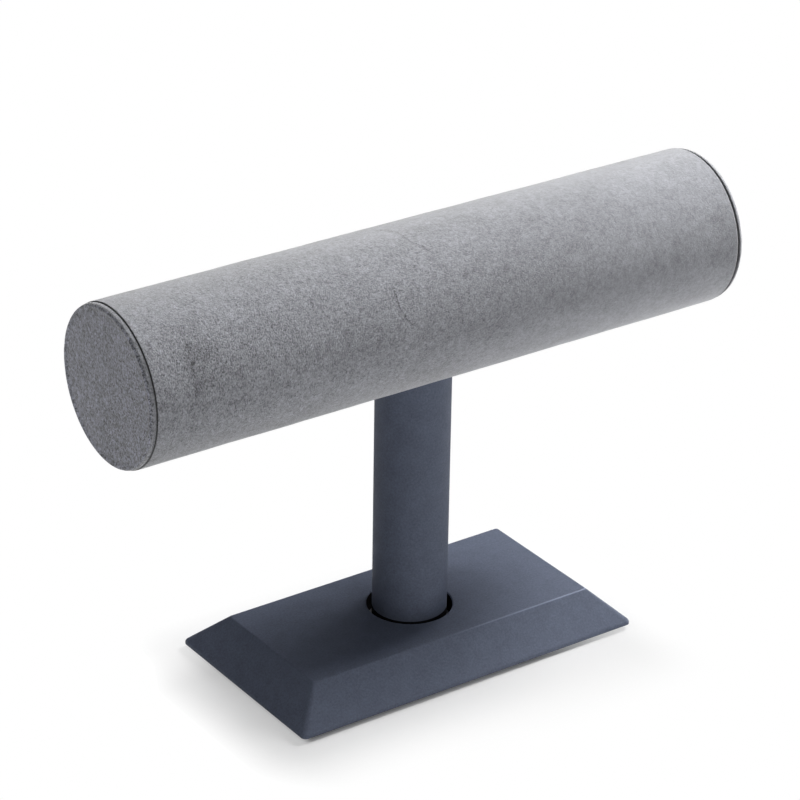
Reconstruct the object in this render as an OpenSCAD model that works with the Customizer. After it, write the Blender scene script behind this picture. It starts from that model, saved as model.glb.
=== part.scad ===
// A T-bar stand: bracelets and watches are kept around its suede-covered bar.
// X runs along the bar, Y from front to back and Z up. The origin lies on the
// table, under the axis of the post.

/* [Bar] */
// Diameter of the bar over its suede
bar_d = 48; // [42:1:60]
// Length of the bar over both end covers
bar_l = 209; // [150:1:300]
// Height of the bar's axis above the table
bar_axis_h = 113.9; // [95:0.1:150]
// Wall of the stiff tube inside the bar
core_wall = 2.6; // [2:0.1:4]
// Rounding of the tube's outer edge at each end
core_edge_r = 0.3; // [0.3:0.1:1.2]
// Thickness of the suede
suede_t = 0.4; // [0.3:0.05:0.7]
// Length of the suede that is turned into each end of the tube
tuck_l = 14; // [8:1:20]
// Width of the butt seam along the underside of the bar
seam_gap = 0.3; // [0.2:0.1:0.8]

/* [Bar ends] */
// Thickness of the end plug's flange
flange_t = 0.7; // [0.5:0.1:1.5]
// Width of the shadow groove between the end cover and the bar's suede
groove_w = 0.5; // [0.2:0.1:1]
// Depth of that groove, from the rim of the flange to its seat ring
groove_depth = 1.4; // [1:0.1:1.8]
// How far the end cover's rim lies inside the surface of the bar
end_step = 0.1; // [0:0.05:0.5]
// Rounding of the end cover's rim
end_rim_r = 0.8; // [0.4:0.1:0.9]
// Length of the end plug's spigot
spigot_l = 12; // [8:1:20]
// Wall of the spigot
spigot_wall = 1.6; // [1.2:0.1:2.5]
// Thickness of the webs inside the spigot
web_t = 1.2; // [0.8:0.1:2]

/* [Post] */
// Diameter of the post
post_d = 23; // [20:0.5:30]
// Wall of the post's tube
post_wall = 1.5; // [1:0.1:2.5]
// Length of the threaded plug in the foot of the post
foot_plug_l = 14; // [13:1:25]
// Length of the threaded plug in the head of the post, below the bar
head_plug_l = 14; // [13:1:25]

/* [Base] */
// Length of the base at its lip
base_l = 121.5; // [100:0.5:180]
// Width of the base at its lip
base_w = 67; // [60:0.5:100]
// Height of the base without its pad
base_h = 11; // [10:0.5:16]
// Width of the bevels, seen from above
bevel_w = 10.3; // [8:0.1:13]
// Height of the upright lip under the bevels
lip_h = 1; // [0.8:0.1:2]
// Wall of the cast shell
base_wall = 2.6; // [2:0.1:3]
// Corner radius of the lip, seen from above
lip_corner_r = 1.6; // [1.1:0.1:5]
// Corner radius of the plateau, seen from above
plateau_corner_r = 0.8; // [0.4:0.1:3]
// Rounding of the edge between lip and bevels
lip_edge_r = 1; // [0.4:0.1:1.2]
// Rounding of the edge between bevels and plateau
plateau_edge_r = 0.8; // [0.3:0.1:1.5]
// Gap round the post in the hole of the base
hole_gap = 1.7; // [0.8:0.1:3]
// Chamfer at the rim of that hole
hole_chamfer = 0.3; // [0.2:0.1:0.8]
// Wall of the collar that hangs round the hole inside the shell
collar_wall = 2.4; // [1.5:0.1:4]
// Thickness of the shell's inner ribs
rib_t = 1.6; // [1:0.1:3]
// Radius of the screw bosses
boss_r = 4; // [3.5:0.1:4.5]
// Distance from the edges of the ballast plate to its screws
screw_inset = 8.5; // [7:0.5:12]

/* [Ballast and pad] */
// Thickness of the steel ballast plate
ballast_t = 5; // [4.5:0.1:6]
// Gap between the ballast plate and the shell
ballast_gap = 0.4; // [0.2:0.1:1]
// Corner radius of the ballast plate
ballast_corner_r = 3; // [1:0.5:8]
// Depth of the recess that locates the foot of the post
foot_recess = 1; // [0.5:0.1:1.2]
// Thickness of the pad under the base
pad_t = 1.5; // [0.5:0.1:3]
// How far the pad stays inside the lip
pad_inset = 2.2; // [1:0.1:2.2]

/* [Fasteners] */
// Thread diameter of the bolt in the bar and the screw in the foot
bolt_d = 6; // [5:0.5:6]
// Length of the bolt under its head
bolt_l = 20; // [19:1:20]
// Length of the foot screw with its head
foot_screw_l = 16; // [12:1:16]
// Thread diameter of the ballast plate's screws
plate_screw_d = 3; // [2.5:0.5:4]
// Length of the ballast plate's screws with their heads
plate_screw_l = 8; // [7:0.1:8]
// Length of the saddle washer along the bar
saddle_l = 20; // [14:1:30]
// Width of the saddle washer across the bar
saddle_w = 16; // [14:1:24]
// Thickness of the saddle washer over the bottom of the tube
saddle_t = 3.6; // [3:0.1:5]
// Thickness of the spring washer
spring_t = 1.6; // [1:0.1:2]

/* [Fits] */
// Thickness of the glue under the suede
glue_t = 0.05; // [0.02:0.01:0.1]
// Radial gap of the plugs in the post and the end plugs in the bar
plug_fit = 0.05; // [0.02:0.01:0.15]
// Radial gap of the post in its recess
recess_fit = 0.1; // [0.05:0.05:0.4]
// Radial gap between a thread and its tapped hole
thread_fit = 0.05; // [0.02:0.01:0.1]
// Radial gap between a bolt or screw and a plain hole
bolt_clearance = 0.2; // [0.1:0.1:0.5]

/* [Hidden] */

$fn = 96;

suede_grey = [0.50, 0.52, 0.53];
slate_coat = [0.22, 0.25, 0.31];
board_tan = [0.66, 0.53, 0.38];
black_moulding = [0.10, 0.10, 0.11];
pad_black = [0.08, 0.08, 0.08];
bright_steel = [0.70, 0.71, 0.72];
dark_steel = [0.28, 0.28, 0.30];

// Steps of each rounded edge and of each rounded corner
edge_steps = 5;
corner_steps = 6;
// How far a cutting shape reaches past the surface that it cuts
past = 1;

// Radii of the bar's layers, from its surface inwards
bar_r = bar_d / 2;
core_outer_r = bar_r - suede_t - glue_t;
core_inner_r = core_outer_r - core_wall;
tuck_outer_r = core_inner_r - glue_t;
tuck_inner_r = tuck_outer_r - suede_t;

// Stations along the bar, from its middle outwards
end_face_x = bar_l / 2;
flange_face_x = end_face_x - suede_t - glue_t;
flange_back_x = flange_face_x - flange_t;
wrap_end_x = flange_back_x - groove_w;
core_end_x = wrap_end_x - suede_t - glue_t;

end_r = bar_r - end_step;
flange_r = end_r - suede_t - glue_t;
spigot_r = tuck_inner_r - plug_fit;

// Heights above the table
base_z = pad_t;
ballast_top_z = base_z + ballast_t;
post_foot_z = ballast_top_z - foot_recess;
bar_bottom_z = bar_axis_h - bar_r;
saddle_top_z = bar_axis_h - core_inner_r + saddle_t;

post_r = post_d / 2;
post_bore_r = post_r - post_wall;
hole_r = post_r + hole_gap;

// Slope of the bevels, and how thick the wall is along the horizontal there
bevel_angle = atan2(base_h - lip_h, bevel_w);
bevel_wall = base_wall / sin(bevel_angle);
ceiling_h = base_h - base_wall;

// Ballast plate, as large as fits between the bevels at its upper face
ballast_inset = bevel_inset(ballast_t) + bevel_wall + ballast_gap;
ballast_l = base_l - 2 * ballast_inset;
ballast_w = base_w - 2 * ballast_inset;
screw_x = ballast_l / 2 - screw_inset;
screw_y = ballast_w / 2 - screw_inset;
screw_skin = 1.2;

bolt_head_r = bolt_d * 5 / 6;
bolt_key = bolt_d * 5 / 6;
screw_head_angle = 45;
screw_head_ratio = 1.9;
screw_key_ratio = 0.65;
screw_sink = 0.2;

// How far in from the lip the outer bevel lies at height h above the shell's rim
function bevel_inset(h) = (h - lip_h) / tan(bevel_angle);

// Points of an arc about c, from angle a to angle b
function arc(c, r, a, b, n = edge_steps) =
    [for (i = [0:n]) let (t = a + (b - a) * i / n) [c[0] + r * cos(t), c[1] + r * sin(t)]];

// Outline of a rectangle with rounded corners
function rounded_rect(l, w, r) = concat(
    arc([l / 2 - r, w / 2 - r], r, 0, 90, corner_steps),
    arc([r - l / 2, w / 2 - r], r, 90, 180, corner_steps),
    arc([r - l / 2, r - w / 2], r, 180, 270, corner_steps),
    arc([l / 2 - r, r - w / 2], r, 270, 360, corner_steps)
);

// One ring of the base: the lip's outline moved inwards, at a height
function base_ring(inset, h, r) =
    [for (p = rounded_rect(base_l - 2 * inset, base_w - 2 * inset, r)) [p[0], p[1], base_z + h]];

// Section of the base from its rim to the plateau, as inset and height
function base_section() =
    let (
        lip_run = lip_edge_r * tan((90 - bevel_angle) / 2),
        top_run = plateau_edge_r * tan(bevel_angle / 2)
    )
    concat(
        [[0, 0]],
        arc([lip_edge_r, lip_h - lip_run], lip_edge_r, 180, 90 + bevel_angle),
        arc([bevel_w + top_run, base_h - plateau_edge_r], plateau_edge_r, 90 + bevel_angle, 90)
    );

// Solid through a stack of rings that have the same number of points
module loft(rings) {
    n = len(rings[0]);
    last = len(rings) - 1;
    polyhedron(
        points = [for (ring = rings) each ring],
        faces = concat(
            [[for (i = [0:n - 1]) i]],
            [[for (i = [n - 1:-1:0]) last * n + i]],
            [for (k = [0:last - 1], i = [0:n - 1]) [k * n + i, (k + 1) * n + i, (k + 1) * n + (i + 1) % n]],
            [for (k = [0:last - 1], i = [0:n - 1]) [k * n + i, (k + 1) * n + (i + 1) % n, k * n + (i + 1) % n]]
        )
    );
}

// Turns a shape made about Z so that it lies along X
module along_x() {
    rotate([0, 90, 0]) children();
}

// Places a shape made about Z on the bar's axis
module on_bar_axis() {
    translate([0, 0, bar_axis_h]) along_x() children();
}

// Hexagonal key socket, sunk from z = 0 upwards
module key_socket(across_flats, depth) {
    translate([0, 0, -past])
        cylinder(r = across_flats / 2 / cos(30), h = depth + past, $fn = 6);
}

// Countersunk screw with its head at z = 0 and its thread pointing up
module countersunk_screw(d, length) {
    head_r = d * screw_head_ratio / 2;
    thread_r = d / 2;
    head_h = (head_r - thread_r) * tan(screw_head_angle);
    difference() {
        rotate_extrude()
            polygon([
                [0, 0],
                [head_r, 0],
                [thread_r, head_h],
                [thread_r, length - thread_r / 3],
                [thread_r * 2 / 3, length],
                [0, length]
            ]);
        key_socket(d * screw_key_ratio, head_h * 0.7);
    }
}

// The hole that takes a countersunk screw through a plate of thickness t
module countersunk_hole(d, t) {
    head_r = d * screw_head_ratio / 2;
    hole = d / 2 + bolt_clearance;
    rotate_extrude()
        polygon([
            [0, -past],
            [head_r + screw_sink, -past],
            [head_r + screw_sink, screw_sink],
            [hole, screw_sink + head_r + screw_sink - hole],
            [hole, t + past],
            [0, t + past]
        ]);
}

// Shape of the bar over its suede, used to cope the post
module bar_envelope(clearance = 0) {
    on_bar_axis()
        cylinder(r = bar_r + clearance, h = bar_l, center = true);
}

// Non-slip pad, glued under the shell and the ballast plate
module base_pad() {
    color(pad_black)
        linear_extrude(pad_t)
            polygon(rounded_rect(
                base_l - 2 * pad_inset, base_w - 2 * pad_inset, lip_corner_r));
}

// Hollow inside of the shell, whose walls run parallel to the bevels
module shell_cavity() {
    rim_inset = bevel_inset(-past) + bevel_wall;
    top_inset = bevel_inset(ceiling_h) + bevel_wall;
    loft([
        base_ring(rim_inset, -past, lip_corner_r),
        base_ring(top_inset, ceiling_h, plateau_corner_r)
    ]);
}

// Bosses, collar and ribs that hang from the shell's ceiling to the ballast plate
module shell_inside() {
    inside_h = ceiling_h - ballast_t + base_wall / 2;
    translate([0, 0, ballast_top_z]) {
        cylinder(r = hole_r + collar_wall, h = inside_h);
        for (x = [-screw_x, screw_x], y = [-screw_y, screw_y])
            translate([x, y, 0]) cylinder(r = boss_r, h = inside_h);
        for (y = [-screw_y, screw_y])
            translate([-screw_x, y - rib_t / 2, 0]) cube([2 * screw_x, rib_t, inside_h]);
        for (x = [-screw_x, screw_x])
            translate([x - rib_t / 2, -screw_y, 0]) cube([rib_t, 2 * screw_y, inside_h]);
        translate([-screw_x, -rib_t / 2, 0]) cube([2 * screw_x, rib_t, inside_h]);
    }
}

// Cast shell: upright lip, mitred bevels, flat plateau and the hole for the post
module base_shell() {
    section = base_section();
    corner = function(inset)
        lip_corner_r + (plateau_corner_r - lip_corner_r) * inset / bevel_w;
    plateau_z = base_z + base_h;
    color(slate_coat)
        difference() {
            union() {
                difference() {
                    loft([for (p = section) base_ring(p[0], p[1], corner(p[0]))]);
                    shell_cavity();
                }
                shell_inside();
            }
            translate([0, 0, base_z]) cylinder(r = hole_r, h = base_h + past);
            translate([0, 0, plateau_z - hole_chamfer])
                cylinder(r1 = hole_r, r2 = hole_r + hole_chamfer + past, h = hole_chamfer + past);
            for (x = [-screw_x, screw_x], y = [-screw_y, screw_y])
                translate([x, y, base_z])
                    cylinder(r = plate_screw_d / 2 + thread_fit, h = base_h - screw_skin);
        }
}

// Steel plate that weighs the base down and carries the post
module ballast_plate() {
    color(dark_steel)
        translate([0, 0, base_z])
            difference() {
                linear_extrude(ballast_t)
                    polygon(rounded_rect(ballast_l, ballast_w, ballast_corner_r));
                translate([0, 0, ballast_t - foot_recess])
                    cylinder(r = post_r + recess_fit, h = foot_recess + past);
                countersunk_hole(bolt_d, ballast_t);
                for (x = [-screw_x, screw_x], y = [-screw_y, screw_y])
                    translate([x, y, 0]) countersunk_hole(plate_screw_d, ballast_t);
            }
}

// Screw through one corner of the ballast plate into its boss
module plate_screw(side_x, side_y) {
    color(bright_steel)
        translate([side_x * screw_x, side_y * screw_y, base_z + screw_sink])
            countersunk_screw(plate_screw_d, plate_screw_l);
}

// Screw through the ballast plate into the foot of the post
module foot_screw() {
    color(bright_steel)
        translate([0, 0, base_z + screw_sink])
            countersunk_screw(bolt_d, foot_screw_l);
}

// Threaded plug that is pressed into the foot of the post
module post_foot_plug() {
    color(bright_steel)
        translate([0, 0, post_foot_z])
            difference() {
                cylinder(r = post_bore_r - plug_fit, h = foot_plug_l);
                translate([0, 0, -past])
                    cylinder(r = bolt_d / 2 + thread_fit, h = foot_plug_l + 2 * past);
            }
}

// Coated tube of the post, whose head is coped to the round of the bar
module post_tube() {
    color(slate_coat)
        difference() {
            translate([0, 0, post_foot_z])
                cylinder(r = post_r, h = bar_axis_h - post_foot_z);
            translate([0, 0, post_foot_z - past])
                cylinder(r = post_bore_r, h = bar_axis_h);
            bar_envelope(glue_t);
        }
}

// Threaded plug in the head of the post, coped together with the tube
module post_head_plug() {
    color(bright_steel)
        difference() {
            translate([0, 0, bar_bottom_z - head_plug_l])
                cylinder(r = post_bore_r - plug_fit, h = head_plug_l + bar_r);
            translate([0, 0, bar_bottom_z - head_plug_l - past])
                cylinder(r = bolt_d / 2 + thread_fit, h = head_plug_l + bar_r);
            bar_envelope(glue_t);
        }
}

// Half of the section of the core tube, as radius and station
function core_half() = concat(
    [[core_inner_r, core_end_x]],
    [for (p = arc([core_outer_r - core_edge_r, core_end_x - core_edge_r], core_edge_r, 90, 0)) p]
);

// Half of the section of the suede, from the middle of the bar round its end and back
function wrap_half() =
    let (
        bend_r = core_edge_r + suede_t + glue_t,
        under_r = core_edge_r + glue_t,
        c = [core_outer_r - core_edge_r, core_end_x - core_edge_r]
    )
    concat(
        arc(c, bend_r, 0, 90),
        arc([tuck_inner_r + suede_t, wrap_end_x - suede_t], suede_t, 90, 180),
        [[tuck_inner_r, wrap_end_x - tuck_l], [tuck_outer_r, wrap_end_x - tuck_l]],
        [[tuck_outer_r, core_end_x + glue_t]],
        arc(c, under_r, 90, 0)
    );

// The other half of a section, mirrored about the middle of the bar
function mirrored(points) =
    [for (i = [len(points) - 1:-1:0]) [points[i][0], -points[i][1]]];

// Stiff tube of the bar, with the hole for the bolt on its underside
module bar_core() {
    color(board_tan)
        difference() {
            on_bar_axis()
                rotate_extrude() polygon(concat(core_half(), mirrored(core_half())));
            bolt_hole();
        }
}

// Hole for the bolt through the underside of the bar
module bolt_hole() {
    translate([0, 0, bar_bottom_z - past])
        cylinder(r = bolt_d / 2 + bolt_clearance, h = bar_r);
}

// Suede round the tube, turned in at both ends, with a butt seam underneath
module bar_wrap() {
    color(suede_grey)
        difference() {
            on_bar_axis()
                rotate_extrude() polygon(concat(wrap_half(), mirrored(wrap_half())));
            translate([-bar_l / 2, -seam_gap / 2, bar_bottom_z - past])
                cube([bar_l, seam_gap, bar_r]);
            bolt_hole();
        }
}

// Washer with a round underside that spreads the bolt's load over the tube
module saddle_washer() {
    color(bright_steel)
        difference() {
            intersection() {
                on_bar_axis()
                    cylinder(r = core_inner_r, h = saddle_l, center = true);
                translate([-saddle_l / 2, -saddle_w / 2, bar_bottom_z])
                    cube([saddle_l, saddle_w, saddle_top_z - bar_bottom_z]);
            }
            translate([0, 0, bar_bottom_z])
                cylinder(r = bolt_d / 2 + bolt_clearance, h = bar_r);
        }
}

// Split spring washer under the bolt's head
module spring_washer() {
    split_w = 0.8;
    color(bright_steel)
        translate([0, 0, saddle_top_z])
            difference() {
                cylinder(r = bolt_head_r, h = spring_t);
                translate([0, 0, -past])
                    cylinder(r = bolt_d / 2 + bolt_clearance, h = spring_t + 2 * past);
                rotate([0, 0, 20])
                    translate([0, -split_w / 2, -past])
                        cube([bolt_d, split_w, spring_t + 2 * past]);
            }
}

// Socket-head bolt from inside the bar into the head of the post
module bar_bolt() {
    head_z = saddle_top_z + spring_t;
    thread_r = bolt_d / 2;
    color(bright_steel)
        difference() {
            translate([0, 0, head_z])
                rotate_extrude()
                    polygon([
                        [0, -bolt_l],
                        [thread_r * 0.8, -bolt_l],
                        [thread_r, thread_r * 0.2 - bolt_l],
                        [thread_r, 0],
                        [bolt_head_r, 0],
                        [bolt_head_r, bolt_d * 0.9],
                        [bolt_head_r - bolt_d * 0.1, bolt_d],
                        [0, bolt_d]
                    ]);
            translate([0, 0, head_z + bolt_d])
                mirror([0, 0, 1]) key_socket(bolt_key, bolt_d / 2);
        }
}

// Moulded plug at one end of the bar: flange, seat ring and webbed spigot
module end_plug() {
    tip_x = flange_back_x - spigot_l;
    bore_r = spigot_r - spigot_wall;
    seat_r = flange_r - groove_depth;
    color(black_moulding)
        on_bar_axis() {
            rotate_extrude()
                polygon([
                    [0, flange_back_x],
                    [bore_r, flange_back_x],
                    [bore_r, tip_x],
                    [spigot_r - spigot_wall / 2, tip_x],
                    [spigot_r, tip_x + spigot_wall],
                    [spigot_r, wrap_end_x],
                    [seat_r, wrap_end_x],
                    [seat_r, flange_back_x],
                    [flange_r, flange_back_x],
                    [flange_r, flange_face_x],
                    [0, flange_face_x]
                ]);
            for (turn = [0, 90])
                rotate([0, 0, turn + 45])
                    translate([-bore_r - spigot_wall / 2, -web_t / 2, tip_x + spigot_wall])
                        cube([2 * bore_r + spigot_wall, web_t, spigot_l - spigot_wall + flange_t / 2]);
        }
}

// Suede cap over one end plug: a flat face that turns back over the flange's rim
module end_cover() {
    color(suede_grey)
        on_bar_axis()
            rotate_extrude()
                polygon(concat(
                    [[0, end_face_x]],
                    [[0, flange_face_x + glue_t]],
                    [[flange_r + glue_t, flange_face_x + glue_t]],
                    [[flange_r + glue_t, flange_back_x]],
                    [[end_r, flange_back_x]],
                    arc([end_r - end_rim_r, end_face_x - end_rim_r], end_rim_r, 0, 90)
                ));
}

// The same piece at the left end of the bar
module at_left_end() {
    mirror([1, 0, 0]) children();
}

base_pad();
base_shell();
ballast_plate();
plate_screw(-1, -1);  // front_left_screw
plate_screw(1, -1);  // front_right_screw
plate_screw(-1, 1);  // back_left_screw
plate_screw(1, 1);  // back_right_screw
foot_screw();
post_foot_plug();
post_tube();
post_head_plug();
bar_core();
saddle_washer();
spring_washer();
bar_bolt();
bar_wrap();
at_left_end() end_plug();  // left_end_plug
end_plug();  // right_end_plug
at_left_end() end_cover();  // left_end_cover
end_cover();  // right_end_cover
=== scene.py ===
import math

import bpy
from mathutils import Matrix, Vector, noise

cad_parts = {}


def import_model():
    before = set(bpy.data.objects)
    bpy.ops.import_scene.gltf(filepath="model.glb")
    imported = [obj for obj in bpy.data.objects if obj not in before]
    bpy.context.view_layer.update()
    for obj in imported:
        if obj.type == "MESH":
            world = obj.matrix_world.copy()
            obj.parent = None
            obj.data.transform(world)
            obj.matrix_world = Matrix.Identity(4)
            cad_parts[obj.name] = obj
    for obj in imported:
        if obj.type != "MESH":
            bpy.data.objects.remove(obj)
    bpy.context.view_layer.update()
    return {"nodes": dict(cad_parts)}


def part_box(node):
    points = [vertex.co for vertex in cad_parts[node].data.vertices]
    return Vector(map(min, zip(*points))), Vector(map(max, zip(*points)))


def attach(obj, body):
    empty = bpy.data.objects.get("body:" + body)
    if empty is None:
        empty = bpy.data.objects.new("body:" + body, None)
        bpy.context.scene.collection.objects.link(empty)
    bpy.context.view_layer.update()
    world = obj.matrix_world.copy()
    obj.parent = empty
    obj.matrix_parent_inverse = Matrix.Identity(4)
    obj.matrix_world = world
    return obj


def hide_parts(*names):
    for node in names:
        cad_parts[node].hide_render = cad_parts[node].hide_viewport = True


# A T-bar jewelry stand: a suede-covered bar on a powder-coated post and a
# bevelled base. X runs along the bar, Y to the back and Z up, with the origin
# under the post. Lengths are in metres, and inside the finishes in millimetres.

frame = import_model()
nodes = frame["nodes"]
scene = bpy.context.scene
MM = 0.001

wrap_low, wrap_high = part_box("bar_wrap")
BAR_R = (wrap_high.z - wrap_low.z) / 2
AXIS_Z = (wrap_high.z + wrap_low.z) / 2
shell_low, shell_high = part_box("base_shell")
PLATEAU_Z = shell_high.z
LIP_TOP_Z = shell_low.z + 1.0 * MM
HOLE_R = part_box("post_tube")[1].x + 1.7 * MM

# Millimetres from the middle of the bar to each groove: the edge of the bar's
# suede, the back of the end's soft roll, and where light reaches that roll
SUEDE_EDGE = {"left": 102.35, "right": 102.92}
ROLL_BACK = {"left": 102.6, "right": 103.75}
ROLL_LIT = {"left": 102.6, "right": 104.1}
# How far in millimetres the suede of each end stands out past its solid
PROUD = {"left": -0.08, "right": 0.7}

# Lines of wear on the bar, and a darker band near its left end: millimetres along
# it and degrees round it, where 0 is straight down, 90 the front and 180 the top
FRONT_CREASE = [(-20.5, 132), (-20.6, 119), (-19, 109), (-17.6, 105)]
TOP_CREASE = [(-10.5, 187), (-7.5, 178), (-6.9, 163), (-4.3, 156), (-3.8, 152)]
RUBBED_LINE = [(-89.3, 143), (-89.4, 120), (-90, 98)]
LEFT_DARK_BAND = [(-87.0, 140), (-88.0, 100)]


# Shader building

class Wire:
    """A node's output. Python's operators on it add Math nodes."""

    def __init__(self, finish, socket):
        self.finish = finish
        self.socket = socket

    def math(self, operation, *others):
        """A Math node on this value and the others."""
        return self.finish.math(operation, self, *others)

    def vector(self, operation, *others, output=0):
        """A Vector Math node on this vector and the others."""
        values = dict(enumerate((self,) + others))
        return self.finish.node("ShaderNodeVectorMath", {"operation": operation}, values, output)

    def __add__(self, other):
        return self.math("ADD", other)

    def __radd__(self, other):
        return self.finish.math("ADD", other, self)

    def __sub__(self, other):
        return self.math("SUBTRACT", other)

    def __rsub__(self, other):
        return self.finish.math("SUBTRACT", other, self)

    def __mul__(self, other):
        return self.math("MULTIPLY", other)

    def __rmul__(self, other):
        return self.finish.math("MULTIPLY", other, self)

    def __truediv__(self, other):
        return self.math("DIVIDE", other)

    def __rtruediv__(self, other):
        return self.finish.math("DIVIDE", other, self)

    def parts(self):
        """The X, Y and Z of a vector."""
        return [self.finish.node("ShaderNodeSeparateXYZ", inputs={0: self}, output=i) for i in range(3)]

    def ramp(self, low, high, to_low=0.0, to_high=1.0):
        """A smooth step from to_low at low to to_high at high."""
        return self.finish.node(
            "ShaderNodeMapRange",
            {"interpolation_type": "SMOOTHSTEP"},
            {"Value": self, "From Min": low, "From Max": high, "To Min": to_low, "To Max": to_high},
        )


class Finish:
    """A material with one main shader, built node by node."""

    def __init__(self, name):
        self.material = bpy.data.materials.new(name)
        self.material.use_nodes = True
        self.tree = self.material.node_tree
        self.tree.nodes.clear()

    def node(self, kind, settings=None, inputs=None, output=0):
        """Adds a node, sets its settings and then its inputs, and returns one output."""
        made = self.tree.nodes.new(kind)
        for name, value in (settings or {}).items():
            setattr(made, name, value)
        for key, value in (inputs or {}).items():
            if isinstance(value, Wire):
                self.tree.links.new(value.socket, made.inputs[key])
            else:
                made.inputs[key].default_value = value
        return Wire(self, made.outputs[output]) if made.outputs else None

    def math(self, operation, *values):
        return self.node("ShaderNodeMath", {"operation": operation}, dict(enumerate(values)))

    def object_point(self):
        return self.node("ShaderNodeTexCoord", output="Object")

    def place(self, stretch=(1.0, 1.0, 1.0)):
        """The point on the object in millimetres, stretched along each axis."""
        return self.object_point().vector("MULTIPLY", tuple(s / MM for s in stretch))

    def noise(self, point, size, detail=2.0, roughness=0.5, distortion=0.0):
        """Noise from 0 to 1 whose features are about size millimetres across."""
        return self.node(
            "ShaderNodeTexNoise",
            {"noise_dimensions": "3D"},
            {"Vector": point, "Scale": 1 / size, "Detail": detail,
             "Roughness": roughness, "Distortion": distortion},
            output="Fac",
        )

    def mix(self, share, a, b):
        """The colour a where share is 0 and b where it is 1."""
        made = self.tree.nodes.new("ShaderNodeMix")
        made.data_type = "RGBA"
        for key, value in ((0, share), (6, a), (7, b)):
            if isinstance(value, Wire):
                self.tree.links.new(value.socket, made.inputs[key])
            else:
                made.inputs[key].default_value = value
        return Wire(self, made.outputs[2])

    def bump(self, height, depth, strength):
        """A normal bent by height, whose full range is depth millimetres."""
        inputs = {"Height": height, "Distance": depth * MM, "Strength": strength}
        return self.node("ShaderNodeBump", inputs=inputs)

    def surface(self, shader):
        """Makes shader the material's surface and returns the material."""
        self.node("ShaderNodeOutputMaterial", inputs={"Surface": shader})
        return self.material

    def principled(self, **inputs):
        """The main shader; underscores in a name stand for spaces."""
        named = {key.replace("_", " "): value for key, value in inputs.items()}
        return self.surface(self.node("ShaderNodeBsdfPrincipled", inputs=named))


def rgb(red, green, blue):
    """An opaque colour."""
    return (red, green, blue, 1.0)


# Finishes

def bar_place(f):
    """A place on the suede: along the bar, round it from the top to the front, and out from its axis."""
    x, y, z = f.object_point().vector("SUBTRACT", (0, 0, AXIS_Z)).parts()
    turn = (y * -1.0).math("ARCTAN2", z)
    out = (y * y + z * z).math("SQRT")
    return x / MM, turn * (BAR_R / MM), out / MM


def mark(f, along, round_bar, points, width):
    """1 on a line through points on the bar, falling to 0 at width millimetres from it."""
    here = f.node("ShaderNodeCombineXYZ", inputs={0: along, 1: round_bar})
    unrolled = [Vector((x, math.radians(180 - angle) * BAR_R / MM, 0)) for x, angle in points]
    nearest = 1000.0
    for start, stop in zip(unrolled, unrolled[1:]):
        run = stop - start
        offset = here.vector("SUBTRACT", tuple(start))
        share = offset.vector("DOT_PRODUCT", tuple(run / run.length_squared), output="Value")
        share = share.math("MAXIMUM", 0.0).math("MINIMUM", 1.0)
        foot = f.node("ShaderNodeVectorMath", {"operation": "SCALE"}, {0: tuple(run), "Scale": share})
        nearest = offset.vector("DISTANCE", foot, output="Value").math("MINIMUM", nearest)
    return nearest.ramp(0.0, width, 1.0, 0.0)


def shaded(towards, side):
    """Painted shade in the groove at one end: 1 in the groove and 0 beside it; towards is counted from the
    middle of the bar to it.
    """
    edge = SUEDE_EDGE[side]
    lit = ROLL_LIT[side]
    return towards.ramp(edge - 0.08, edge) * (1.0 - towards.ramp(lit, lit + 0.12))


def nap_strokes(f, along):
    """Fine brushed strokes of the nap: upward at the left of the bar, and lengthwise in the rest."""
    upward = f.noise(f.place((1.0, 0.7, 0.45)), 0.34, detail=1.0, distortion=0.4)
    lengthwise = f.noise(f.place((0.45, 1.0, 1.0)), 0.34, detail=1.0, distortion=0.4)
    turned = along.ramp(-60.0, -15.0)
    return upward * (1.0 - turned) + lengthwise * turned


def nap_marks(f, along, round_bar, speck):
    """How much darker the nap gets: wear in two creases and a rubbed line, and a darker band at the left.
    """
    wavy = along + (speck - 0.5) * 1.2
    front_crease = mark(f, wavy, round_bar, FRONT_CREASE, width=0.5)
    top_crease = mark(f, wavy, round_bar, TOP_CREASE, width=0.5)
    rubbed_and_highlight = mark(f, along, round_bar, RUBBED_LINE, width=1.0)
    dark_band = mark(f, along, round_bar, LEFT_DARK_BAND, width=6.0)
    return front_crease * 0.3 + top_crease * 0.26 + rubbed_and_highlight * 0.12 + dark_band * 0.12


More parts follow.
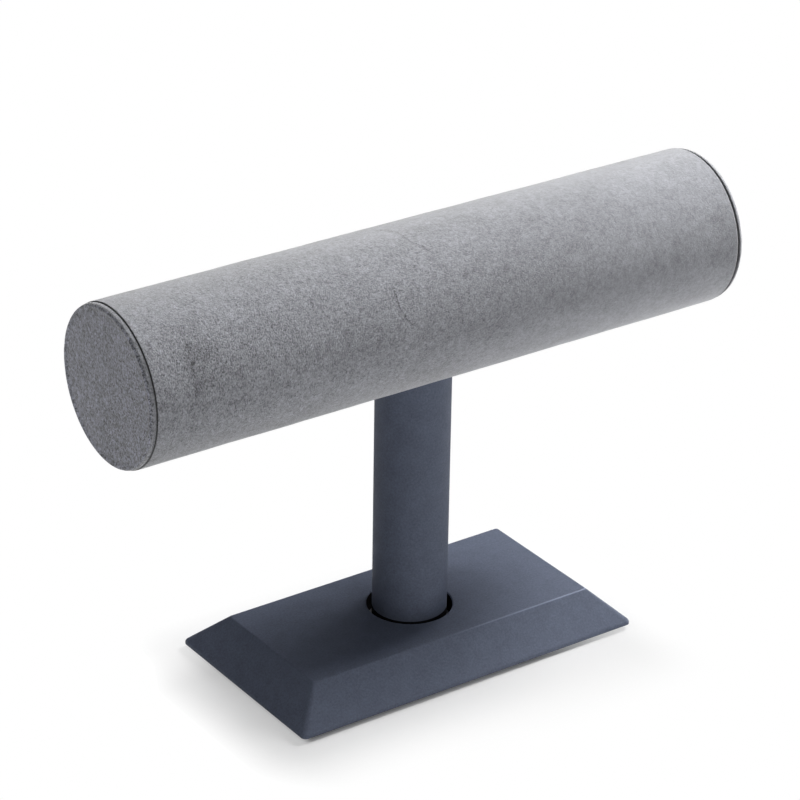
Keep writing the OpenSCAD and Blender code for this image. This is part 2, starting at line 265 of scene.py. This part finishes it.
def microsuede():
    """Grey microsuede: a short curly nap with brushed patches, some wear and a darker band, a left end face
    painted lighter, and painted shade in the groove at each end and inside the left end's rim.
    """
    f = Finish("grey_microsuede")
    point = f.place()
    along, round_bar, out = bar_place(f)
    to_left = along * -1.0
    capped = to_left.ramp(103.9, 104.1)
    to_right = along.ramp(-80.0, 80.0)
    speck = f.noise(point, 0.5, detail=1.0, distortion=0.6)
    stroke = nap_strokes(f, along)
    tuft = f.noise(point, 1.3, roughness=0.6, distortion=0.8)
    cloud = f.noise(point, 4.5, detail=3.0, roughness=0.55, distortion=0.4)
    brushed = f.noise(f.place((0.5, 1.0, 1.0)), 20.0, distortion=0.6)
    # The nap is crispest at the left and on the left end, and calmer over the top and the back.
    calm_top = round_bar.ramp(6.0, 24.0, 0.74, 1.0)
    crisp = (1.9 - to_right * 1.4 + capped * 1.45) * calm_top
    fine = ((speck - 0.5) * 0.5 + (stroke - 0.5) * 0.5) * crisp
    tufts = (tuft - 0.5) * (0.9 - to_right * 0.35 + capped * 0.8)
    soft = (cloud - 0.5) * 0.35 + (brushed - 0.5) * 0.28
    # Inside the left end's rim the nap is painted darker as shade, most of all up at the front.
    up_front = (round_bar * (MM / BAR_R) - 0.7).math("COSINE") * 0.5 + 0.5
    rim_painted_shade = out.ramp(20.8, 22.8) * to_left.ramp(103.4, 104.0) * up_front * up_front
    wear_and_painted_shade = nap_marks(f, along, round_bar, speck) + rim_painted_shade * 0.22
    tone = 0.5 + fine + tufts + soft - wear_and_painted_shade
    bar_nap = f.mix(tone, rgb(0.053, 0.054, 0.061), rgb(0.573, 0.586, 0.642))
    # The left end's face takes a copy of the nap painted lighter and bluer, as painted light.
    cap_nap_painted_lighter = f.mix(tone, rgb(0.056, 0.057, 0.068), rgb(0.605, 0.62, 0.745))
    nap = f.mix(capped, bar_nap, cap_nap_painted_lighter)
    # Painted shade: the groove at each end is darkened nearly to black, the right one a little less.
    groove_painted_shade = shaded(to_left, "left") + shaded(along, "right") * 0.66
    return f.principled(
        Base_Color=f.mix(groove_painted_shade, nap, rgb(0.004, 0.004, 0.005)),
        Roughness=0.92,
        Specular_IOR_Level=0.0,
        Sheen_Weight=0.8,
        Sheen_Roughness=0.6,
        Normal=f.bump((speck * 0.5 + stroke * 0.5) * crisp + tuft * 0.6, depth=0.2, strength=0.8),
    )


def powder_coat():
    """Slate-blue satin powder coat: finely grained, smoother on edges, with painted shade, black, in the
    hole round the post and a painted highlight on the front crest.
    """
    f = Finish("slate_powder_coat")
    point = f.place()
    grain = f.noise(point, 0.6, detail=3.0, roughness=0.7)
    cloud = f.noise(point, 5.0)
    tone = (grain - 0.5) * 1.7 + (cloud - 0.5) * 0.5 + 0.5
    coat = f.mix(tone, rgb(0.098, 0.115, 0.159), rgb(0.160, 0.185, 0.257))
    x, y, z = point.parts()
    radius = (x * x + y * y).math("SQRT")
    top = PLATEAU_Z / MM
    hole_r = HOLE_R / MM
    # Painted shade: below its rim the hole round the post is painted black.
    below_rim = 1.0 - z.ramp(top - 0.45, top - 0.3)
    hole_painted_shade = below_rim * (1.0 - radius.ramp(hole_r + 0.1, hole_r + 0.4))
    # The coat is smoother on the crest, which is the plateau's rounded edge, and on the edge of the lip.
    past_hole = radius.ramp(hole_r + 1.8, hole_r + 2.8)
    crest = z.ramp(top - 0.3, top - 0.2) * (1.0 - z.ramp(top - 0.03, top - 0.01)) * past_hole
    lip_top = LIP_TOP_Z / MM
    lip = z.ramp(lip_top - 0.5, lip_top - 0.3) * (1.0 - z.ramp(lip_top + 0.2, lip_top + 0.4))
    # At the front the crest gets a painted highlight, lighter towards its right end.
    rubbed_and_highlight = crest * x.ramp(-15.0, 45.0) * (1.0 - y.ramp(-22.0, -18.0)) * 0.8
    colour = f.mix(rubbed_and_highlight, coat, rgb(0.22, 0.255, 0.36))
    colour = f.mix(hole_painted_shade, colour, rgb(0.002, 0.002, 0.002))
    return f.principled(
        Base_Color=colour,
        Roughness=0.6 + grain * 0.1 - crest * 0.25 - lip * 0.25 + hole_painted_shade * 0.4,
        Specular_IOR_Level=0.18,
        Normal=f.bump(grain, depth=0.04, strength=0.6),
    )


def foam():
    """Dense black foam with a fine cell pattern."""
    f = Finish("black_foam")
    cell = 0.5
    placed = {"Vector": f.place(), "Scale": 1 / cell}
    cells = f.node("ShaderNodeTexVoronoi", inputs=placed, output="Distance")
    colour = f.mix(cells, rgb(0.012, 0.012, 0.013), rgb(0.035, 0.035, 0.037))
    return f.principled(Base_Color=colour, Roughness=0.9, Normal=f.bump(cells, depth=0.1, strength=0.6))


def steel(name, colour, roughness):
    """Turned or rolled steel with fine tool marks."""
    f = Finish(name)
    marks = f.noise(f.place((1.0, 1.0, 12.0)), 2.0, detail=3.0, roughness=0.6)
    darker = tuple(c * 0.75 for c in colour)
    return f.principled(
        Base_Color=f.mix(marks, rgb(*darker), rgb(*colour)),
        Metallic=1.0,
        Roughness=marks * 0.15 + roughness,
    )


def wound_board():
    """Brown board in spiral turns."""
    f = Finish("wound_board")
    fibres = f.noise(f.place((0.3, 1.0, 1.0)), 0.8, detail=3.0, roughness=0.6)
    return f.principled(
        Base_Color=f.mix(fibres, rgb(0.30, 0.21, 0.13), rgb(0.50, 0.38, 0.25)),
        Roughness=0.85,
    )


def moulded_black():
    """Black moulded plastic with a fine spark texture."""
    f = Finish("moulded_black")
    spark = f.noise(f.place(), 0.3)
    return f.principled(
        Base_Color=f.mix(spark, rgb(0.012, 0.012, 0.013), rgb(0.02, 0.02, 0.022)),
        Roughness=0.5 + spark * 0.1,
        Normal=f.bump(spark, depth=0.02, strength=0.4),
    )


SUEDE = microsuede()
COAT = powder_coat()
FOAM = foam()
ROLLED = steel("rolled_steel", (0.32, 0.32, 0.34), 0.4)
PLATED = steel("zinc_plated_steel", (0.62, 0.63, 0.65), 0.28)
TURNED = steel("turned_steel", (0.56, 0.57, 0.59), 0.32)
BOARD = wound_board()
MOULDED = moulded_black()

NODE_FINISH = {
    "base_pad": FOAM,
    "base_shell": COAT,
    "ballast_plate": ROLLED,
    "front_left_screw": PLATED,
    "front_right_screw": PLATED,
    "back_left_screw": PLATED,
    "back_right_screw": PLATED,
    "foot_screw": PLATED,
    "post_foot_plug": TURNED,
    "post_tube": COAT,
    "post_head_plug": TURNED,
    "bar_core": BOARD,
    "saddle_washer": TURNED,
    "spring_washer": PLATED,
    "bar_bolt": PLATED,
    "bar_wrap": SUEDE,
    "left_end_plug": MOULDED,
    "right_end_plug": MOULDED,
    "left_end_cover": SUEDE,
    "right_end_cover": SUEDE,
}


def paint(piece, finish):
    """Gives a piece its one material."""
    piece.data.materials.clear()
    piece.data.materials.append(finish)


for name, finish in NODE_FINISH.items():
    paint(nodes[name], finish)


# Suede pieces

def arc(cx, cr, radius, start, stop, steps):
    """Points of an arc, as places along the bar and distances from its axis; angles are in degrees."""
    points = []
    for i in range(steps + 1):
        a = math.radians(start + (stop - start) * i / steps)
        points.append((cx + radius * math.cos(a), cr + radius * math.sin(a)))
    return points


def sheet_mesh(name, rows, closed):
    """A mesh through rows of points; closed joins each row's last point to its first."""
    points = [p for row in rows for p in row]
    width = len(rows[0])
    last = width if closed else width - 1
    faces = []
    for r in range(len(rows) - 1):
        for i in range(last):
            j = (i + 1) % width
            faces.append((r * width + i, r * width + j, (r + 1) * width + j, (r + 1) * width + i))
    mesh = bpy.data.meshes.new(name)
    mesh.from_pydata(points, [], faces)
    mesh.update()
    piece = bpy.data.objects.new(name, mesh)
    scene.collection.objects.link(piece)
    return piece


def suede_piece(piece, node):
    """Finishes a sheet of suede and puts it in the place of the node's solid."""
    for face in piece.data.polygons:
        face.use_smooth = True
    paint(piece, SUEDE)
    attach(piece, "root")
    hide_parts(node)


def on_bar(x, radius, angle):
    """A point about the bar's axis; angle 0 is straight down and 90 the front."""
    a = math.radians(angle)
    return Vector((x, -radius * math.sin(a), AXIS_Z - radius * math.cos(a)))


def wander(seed, place, scale, amount):
    """A smooth random offset of up to amount that changes over scale."""
    return amount * noise.noise(Vector(place) / scale + Vector((seed, 0, 0)))


def bar_suede():
    """The suede round the bar: one rolled sheet, turned in at both ends, with a butt seam below."""
    bend = 0.2 * MM
    fold = 0.5 * MM
    tuck = 12 * MM
    tube_and_suede = 3.1 * MM
    inner = BAR_R - tube_and_suede
    left_edge = SUEDE_EDGE["left"] * MM
    right_edge = SUEDE_EDGE["right"] * MM

    def turned_in(edge):
        """One end's profile: over the edge, down across the tube's end, and back along its inside."""
        over = arc(edge - bend, BAR_R - bend, bend, 90, 0, 6) + [(edge, BAR_R - 1.2 * MM)]
        folded = [(edge, inner + fold), (edge - 0.3 * fold, inner + 0.3 * fold), (edge - fold, inner)]
        return over + folded + [(edge - tuck, inner)]

    # Rows of points along the bar: even in the middle, closer and closer near both edges.
    close_rows = [back * MM for back in (6.2, 4.2, 2.8, 1.8, 1.1, 0.6)]
    even_end = left_edge - 7.2 * MM
    even_steps = 96
    stations = [-left_edge + back for back in reversed(close_rows)]
    stations += [-even_end + 2 * even_end * i / even_steps for i in range(even_steps + 1)]
    stations += [right_edge - back for back in close_rows]
    profile = [(-x, r) for x, r in reversed(turned_in(left_edge))]
    profile += [(x, BAR_R) for x in stations] + turned_in(right_edge)

    # Columns of points round the bar in degrees, from one side of the seam to the
    # other, with a few in the lip that bends down to it on each side.
    half_seam = math.degrees(0.15 * MM / BAR_R)
    lip = 1.4
    around = 280
    lips = [half_seam + lip * share for share in (0.0, 0.25, 0.6)]
    span = 360 - 2 * (half_seam + lip)
    angles = lips + [half_seam + lip + span * i / around for i in range(around + 1)]
    angles += [360 - a for a in reversed(lips)]

    # The outer face is sunk a little, so that its soft swells stay near the solid's
    # face. It dips at the seam, and its two edges wander. What is turned in is even.
    sunk = 0.08 * MM
    seam_dip = 0.22 * MM
    edge_band = 0.5 * MM
    turned_in_below = BAR_R - 1.5 * MM
    rows = []
    for x, r in profile:
        row = []
        for a in angles:
            p = on_bar(x, r, a)
            if r < turned_in_below:
                row.append(p)
                continue
            from_seam = min(a, 360 - a) - half_seam
            dip = seam_dip * max(0.0, 1 - from_seam / lip) ** 2
            swell = wander(3, p, 16 * MM, 0.10 * MM) + wander(9, p, 5 * MM, 0.035 * MM)
            x_here = x
            if x > right_edge - edge_band or x < edge_band - left_edge:
                x_here += math.copysign(wander(5, p, 2.2 * MM, 0.07 * MM), -x)
            row.append(on_bar(x_here, r - dip + swell - sunk, a))
        rows.append(row)
    piece = sheet_mesh("bar_suede", rows, closed=False)
    solid = piece.modifiers.new("thickness", "SOLIDIFY")
    solid.thickness = 0.36 * MM
    solid.offset = -1.0
    suede_piece(piece, "bar_wrap")


def end_suede(side):
    """The suede over one end plug: a shallow dish inside a soft roll that turns back to the groove."""
    node = side + "_end_cover"
    low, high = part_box(node)
    sign = -1 if side == "left" else 1
    face = max(abs(low.x), abs(high.x)) + PROUD[side] * MM
    back = ROLL_BACK[side] * MM
    turned = 0.3 * MM
    roll_x = face - back - turned
    roll_r = 0.8 * MM
    crest = BAR_R - roll_r
    dish = 0.3 * MM
    slope = 1.3 * MM
    # The profile runs from the middle of the face, in rings that get closer to the
    # crest, over the roll and round its back.
    rings = 26
    middle_r = 0.01 * MM
    profile = [(face, crest * (1 - (1 - i / rings) ** 2) + middle_r) for i in range(rings)]
    profile += [(face - roll_x + roll_x * u, crest + roll_r * v) for u, v in arc(0, 0, 1, 0, 90, 12)]
    profile += arc(back + turned, BAR_R - turned, turned, 90, 180, 5)
    profile += [(back, BAR_R - 2 * turned)]
    around = 280
    rows = []
    for x, r in profile:
        row = []
        for i in range(around):
            a = 360 * i / around
            p = on_bar(sign * x, r, a)
            if r < crest:
                inward = min(1.0, (crest - r) / slope)
                dent = dish * inward * inward * (3.0 - 2.0 * inward)
                p.x -= sign * (dent + wander(13, p, 7 * MM, 0.03 * MM) * inward)
            else:
                p.x += sign * wander(17, p, 3 * MM, 0.05 * MM) * (x < face)
            row.append(p)
        rows.append(row)
    piece = sheet_mesh(side + "_end_suede", rows, closed=True)
    if sign < 0:
        piece.data.flip_normals()
    suede_piece(piece, node)


bar_suede()
end_suede("left")
end_suede("right")


# Floor, light and camera

def floor():
    """A wide white floor: lit paper, which keeps the stand's shadow, turning plain white away from it."""
    size = 6.0
    rows = [[(x * size, y * size, 0.0) for x in (-1, 1)] for y in (-1, 1)]
    piece = sheet_mesh("floor", rows, closed=False)
    f = Finish("white_floor")
    seen = f.node("ShaderNodeLightPath", output="Is Camera Ray")
    point = f.object_point()
    right, behind, _ = point.parts()
    outside = point.vector("ABSOLUTE").vector("SUBTRACT", (shell_high.x, shell_high.y, 0))
    past_end, past_front, _ = outside.parts()
    away = outside.vector("MAXIMUM", (0, 0, 0)).vector("LENGTH", output="Value")

    # Painted shadow: the white is a little greyer close to the base at its front right.
    front_right = right.ramp(-45 * MM, 35 * MM) * right.ramp(50 * MM, 72 * MM, 1.0, 0.0)
    in_front = behind.ramp(-30 * MM, 0.0, 1.0, 0.0)
    close = away.ramp(0.0, 38 * MM, 1.0, 0.0)
    white = f.mix(front_right * in_front * close, rgb(1.0, 1.0, 1.0), rgb(0.86, 0.86, 0.86))
    paper = f.mix(seen, rgb(0.95, 0.95, 0.95), white)
    matt = {"Roughness": 1.0, "Specular IOR Level": 0.0}
    lit = f.node("ShaderNodeBsdfPrincipled", inputs={"Base Color": paper, **matt})
    glowing = {"Base Color": rgb(0.0, 0.0, 0.0), "Emission Color": white, "Emission Strength": 1.0}
    lifted = f.node("ShaderNodeBsdfPrincipled", inputs={**glowing, **matt})

    # Plain white gains a share past the base's edges, with the distance from it,
    # and on its open sides: behind it, to its right and far to its left.
    edge = past_front.math("MAXIMUM", past_end + 2.3 * MM).math("MAXIMUM", (right - 36 * MM) * 0.16)
    by_edge = edge.ramp(-2.6 * MM, 2.4 * MM, 0.0, 0.42)
    by_distance = away.ramp(2 * MM, 28 * MM, 0.0, 0.58)
    open_back = behind.ramp(12 * MM, 34 * MM, 0.0, 0.3)
    open_right = right.ramp(40 * MM, 58 * MM, 0.0, 0.25)
    open_left = right.ramp(-90 * MM, -60 * MM, 0.16, 0.0)
    plain = by_edge + by_distance + (open_back + open_right + open_left)
    share = seen * plain.math("MINIMUM", 1.0)
    paint(piece, f.surface(f.node("ShaderNodeMixShader", inputs={0: share, 1: lit, 2: lifted})))


def world():
    """A white room that only the camera sees, so the lamps alone light the stand."""
    room = bpy.data.worlds.new("white_room")
    room.use_nodes = True
    tree = room.node_tree
    tree.nodes.clear()
    path = tree.nodes.new("ShaderNodeLightPath")
    light = tree.nodes.new("ShaderNodeBackground")
    light.inputs["Color"].default_value = rgb(1.0, 1.0, 1.0)
    tree.links.new(path.outputs["Is Camera Ray"], light.inputs["Strength"])
    out = tree.nodes.new("ShaderNodeOutputWorld")
    tree.links.new(light.outputs[0], out.inputs["Surface"])
    scene.world = room


def softbox(name, around, up, distance, size, power):
    """A square soft lamp that faces the stand."""
    lamp = bpy.data.lights.new(name, "AREA")
    lamp.shape = "SQUARE"
    lamp.size = size
    lamp.energy = power
    placed = bpy.data.objects.new(name, lamp)
    scene.collection.objects.link(placed)
    aim = Vector((0, 0, 70 * MM))
    a = math.radians(around)
    e = math.radians(up)
    out = Vector((math.cos(a) * math.cos(e), math.sin(a) * math.cos(e), math.sin(e)))
    placed.location = aim + distance * out
    placed.rotation_euler = (placed.location - aim).to_track_quat("Z", "Y").to_euler()


def camera():
    """The photograph's view, as fitted to the edges of the bar and the base."""
    azimuth = math.radians(-35.380)
    elevation = math.radians(26.457)
    roll = math.radians(0.949)
    distance = 0.97197
    focal_px = 3280.0
    image_px = 800
    sensor = 36.0
    aim = Vector((-0.004736, 0.0, 0.082962))
    back = Vector((math.sin(azimuth) * math.cos(elevation),
                   -math.cos(azimuth) * math.cos(elevation),
                   math.sin(elevation)))
    right = (-back).cross(Vector((0, 0, 1))).normalized()
    up = right.cross(-back)
    rolled_right = math.cos(roll) * right + math.sin(roll) * up
    rolled_up = -math.sin(roll) * right + math.cos(roll) * up
    view = bpy.data.cameras.new("camera")
    view.sensor_width = sensor
    view.lens = focal_px / image_px * sensor
    view.clip_start = 0.05
    view.clip_end = 50.0
    placed = bpy.data.objects.new("camera", view)
    scene.collection.objects.link(placed)
    turn = Matrix((rolled_right, rolled_up, back)).transposed().to_4x4()
    placed.matrix_world = Matrix.Translation(aim + back * distance) @ turn
    scene.camera = placed


# Each lamp: degrees round from +X, degrees up from level, distance and size in
# metres, power in watts
LAMPS = {
    "front_fill": (274, 16, 1.2, 0.6, 2.6),
    "left_fill": (180, 32, 1.2, 0.6, 1.01),
    "high_left_fill": (180, 60, 1.2, 0.6, 1.01),
    "cap_glow": (180, 45, 0.5, 0.12, 0.13),
    "right_back_glow": (35, 30, 0.5, 0.25, 0.27),
    "top_glow": (35, 70, 0.5, 0.25, 0.08),
    "near_key": (3, 40, 0.6, 0.15, 2.68),
    "far_key": (0, 40, 1.0, 0.15, 3.03),
    "back_key": (20, 40, 1.0, 0.15, 0.98),
}

floor()
world()
for name, settings in LAMPS.items():
    softbox(name, *settings)
camera()
scene.view_settings.view_transform = "Standard"
